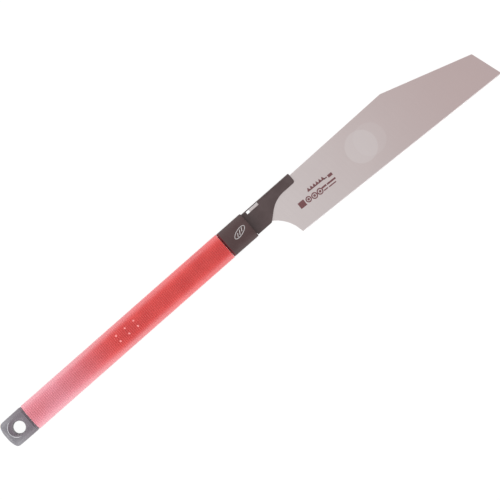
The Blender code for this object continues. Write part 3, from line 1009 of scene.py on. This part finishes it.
bladeLook = {
    "teeth": 172, "edgeLength": 249.7 * millimetre, "edgeTilt": 2.78, "toothDepth": 1.2 * millimetre,
    "rootOverlap": 0.06 * millimetre, "rootWidth": 0.96, "lean": -0.20, "set": 0.10 * millimetre,
    # a tooth's two steps: shares of its height, of width and thickness kept, and of its lean and set
    "steps": ((0.5, 0.52, 0.98, 0.5, 0.4), (0.5, 0.10, 0.35, 0.5, 0.6)),
    "trim": 0.02 * millimetre, "edge": 0.05 * millimetre, "edgeAngle": 60, "smoothing": 50,
}


def makeTeeth(toe, thick):
    # crosscut teeth, filed to points that lean to the handle and stand out to each side in turn
    look = bladeLook
    pitch = look["edgeLength"] / look["teeth"]
    height = look["toothDepth"] + look["rootOverlap"]
    pair = []
    for index, side in enumerate((1, -1)):
        root = Vector((-(index + 0.5) * pitch, height, 0))
        deselectAll()
        bpy.ops.mesh.primitive_plane_add(size=1, location=root, rotation=(math.radians(90), 0, 0))
        tooth = bpy.context.object
        tooth.scale = (pitch * look["rootWidth"], thick, 1)
        placeInMesh(tooth)
        startEdit(tooth)
        bpy.ops.mesh.select_all(action="SELECT")
        for down, narrow, slim, lean, out in look["steps"]:
            step = Vector((pitch * look["lean"] * lean, -height * down, side * look["set"] * out))
            bpy.ops.mesh.extrude_region_move(TRANSFORM_OT_translate={"value": step})
            root = root + step
            bpy.ops.transform.resize(value=(narrow, 1, slim), center_override=root)
        endEdit()
        pair.append(tooth)
    teeth = joined("teeth", pair)
    outwards(teeth)
    repeatAlong(teeth, look["teeth"] // 2, -2 * pitch)
    teeth.location = toe
    teeth.rotation_euler = (0, 0, -math.radians(look["edgeTilt"]))
    placeInMesh(teeth)
    return teeth


def makeBlade():
    look = bladeLook
    low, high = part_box("blade")
    toe = Vector((high.x, low.y, midZ))
    tilt = math.radians(look["edgeTilt"])
    inward = Vector((math.sin(tilt), math.cos(tilt), 0))
    blade = copyNode("blade", "sawBlade")
    startEdit(blade, "VERT")
    bpy.ops.mesh.select_all(action="SELECT")
    bpy.ops.mesh.bisect(plane_co=toe + inward * (look["toothDepth"] + look["trim"]), plane_no=inward,
                        clear_inner=True, use_fill=True)
    endEdit()
    softenEdges(blade, look["edge"], look["edgeAngle"])
    teeth = makeTeeth(toe, high.z - low.z)
    blade = joined("sawBlade", [blade, teeth])
    smoothFlat(blade, look["smoothing"])
    finishPiece(blade, "blade", finishes["blade"], ["blade"])


printLook = {
    "tilt": -2.73,
    # bars: place along and across, length, height
    "bars": (
        (370.0, -19.4, 7.2, 6.6), (397.6, -20.3, 5.6, 1.8), (397.4, -23.5, 5.0, 1.2),
        (406.4, -20.9, 10.6, 1.8), (405.4, -24.1, 8.8, 1.2), (409.4, -15.6, 5.2, 3.0),
        (404.0, -15.0, 3.6, 1.2),
    ),
    # teeth: place of the first, how many, their step and radius
    "teeth": (384.0, -13.0, 6, 3.5, 2.6),
    # rings: place, radius
    "rings": ((377.9, -19.8, 3.2), (384.7, -20.9, 3.4), (391.5, -21.3, 3.4)),
    "ringLine": 1.2, "dot": 1.3,
}


def flatPatch(centre, radius, turn, shape, z):
    deselectAll()
    bpy.ops.mesh.primitive_circle_add(vertices=corners[shape], radius=radius * millimetre, fill_type="NGON",
                                      location=fromButt(*centre, z), rotation=(0, 0, math.radians(turn)))
    patch = bpy.context.object
    placeInMesh(patch)
    return patch


def makeBladePrint():
    # a plain row of teeth, log ends and bars where the blade is printed
    look = printLook
    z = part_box("blade")[1].z
    tilt = math.radians(look["tilt"])
    marks = [flatBar(bar[:2], bar[2:], look["tilt"], z) for bar in look["bars"]]
    x, y, count, step, radius = look["teeth"]
    for index in range(count):
        shift = index * step
        centre = (x + shift * math.cos(tilt), y + shift * math.sin(tilt))
        marks.append(flatPatch(centre, radius, look["tilt"], "triangle", z))
    for x, y, radius in look["rings"]:
        marks.append(flatRing((x, y), (radius, radius), look["ringLine"], look["tilt"], z))
        marks.append(flatPatch((x, y), look["dot"], 0, "dot", z))
    finishPrint("bladePrint", marks, "blade", finishes["ink"])


makeHolder()
makeBlade()
makeBladePrint()

# hidden pieces keep their CAD meshes and only get a finish
hiddenFinishes = {
    "handle_core": "wood", "hook_pin": "bright",
    "tongue_rivet_front": "bright", "tongue_rivet_rear": "bright",
}
for nodeName, key in hiddenFinishes.items():
    frame["nodes"][nodeName].data.materials.clear()
    frame["nodes"][nodeName].data.materials.append(finishes[key])
print("all pieces made")


# ---- floor, lights and camera

stageLook = {
    "floor": 6.0, "floorCells": 4, "zenith": 0.64, "horizon": 1.0, "farClip": 20,
    "viewWidth": 0.492, "lens": 200.0, "sensor": 36.0, "target": (0.0003, -0.00035), "roll": 41.34,
}

lightsLook = (
    # name, place, aim, size, power, colour
    ("buttSoftbox", (-1.0, 0.0, 0.6), (-0.25, 0, 0), (0.5, 0.5), 4.0, (1.0, 1.0, 1.0)),
    ("overheadPanel", (-0.75, 0.0, 3.6), (-0.3, 0, 0), (1.4, 1.6), 2.6, (0.95, 1.0, 1.0)),
    ("backStrip", (0.0, 1.0, 0.13), (0, 0, 0), (1.4, 0.2), 4.5, (1.0, 1.0, 1.0)),
    ("frontStrip", (0.0, -1.0, 0.13), (0, 0, 0), (1.4, 0.2), 5.2, (1.0, 1.0, 1.0)),
)


def makeStage():
    look = stageLook
    deselectAll()
    bpy.ops.mesh.primitive_grid_add(x_subdivisions=look["floorCells"], y_subdivisions=look["floorCells"],
                                    size=look["floor"], location=(0, 0, 0))
    floor = bpy.context.object
    floor.name = "floor"
    floor.data.materials.append(finishes["floor"])
    world = bpy.data.worlds.new("studio")
    bpy.context.scene.world = world
    world.use_nodes = True
    # a white tent that is a little darker straight above, where it is open
    tree = world.node_tree
    upward = node(tree, "SeparateXYZ", {0: node(tree, "TexCoord").outputs["Generated"]}).outputs[2]
    level = remap(tree, upward, 0.0, 1.0, look["horizon"], look["zenith"])
    tree.links.new(level, tree.nodes["Background"].inputs["Color"])


def makeLight(name, place, target, size, power, color):
    data = bpy.data.lights.new(name, "AREA")
    data.shape = "RECTANGLE"
    data.size, data.size_y = size
    data.energy = power
    data.color = color
    light = bpy.data.objects.new(name, data)
    bpy.context.scene.collection.objects.link(light)
    light.visible_camera = False
    light.location = place
    light.rotation_euler = (Vector(target) - Vector(place)).to_track_quat("-Z", "Y").to_euler()


def makeCamera():
    look = stageLook
    data = bpy.data.cameras.new("camera")
    data.lens, data.sensor_width = look["lens"], look["sensor"]
    data.clip_end = look["farClip"]
    camera = bpy.data.objects.new("camera", data)
    bpy.context.scene.collection.objects.link(camera)
    distance = look["viewWidth"] / look["sensor"] * look["lens"]
    camera.location = (*look["target"], midZ + distance)
    camera.rotation_euler = (0, 0, math.radians(-look["roll"]))
    bpy.context.scene.camera = camera


makeStage()
for light in lightsLook:
    makeLight(*light)
makeCamera()
bpy.context.scene.view_settings.view_transform = "Standard"
print("stage made")
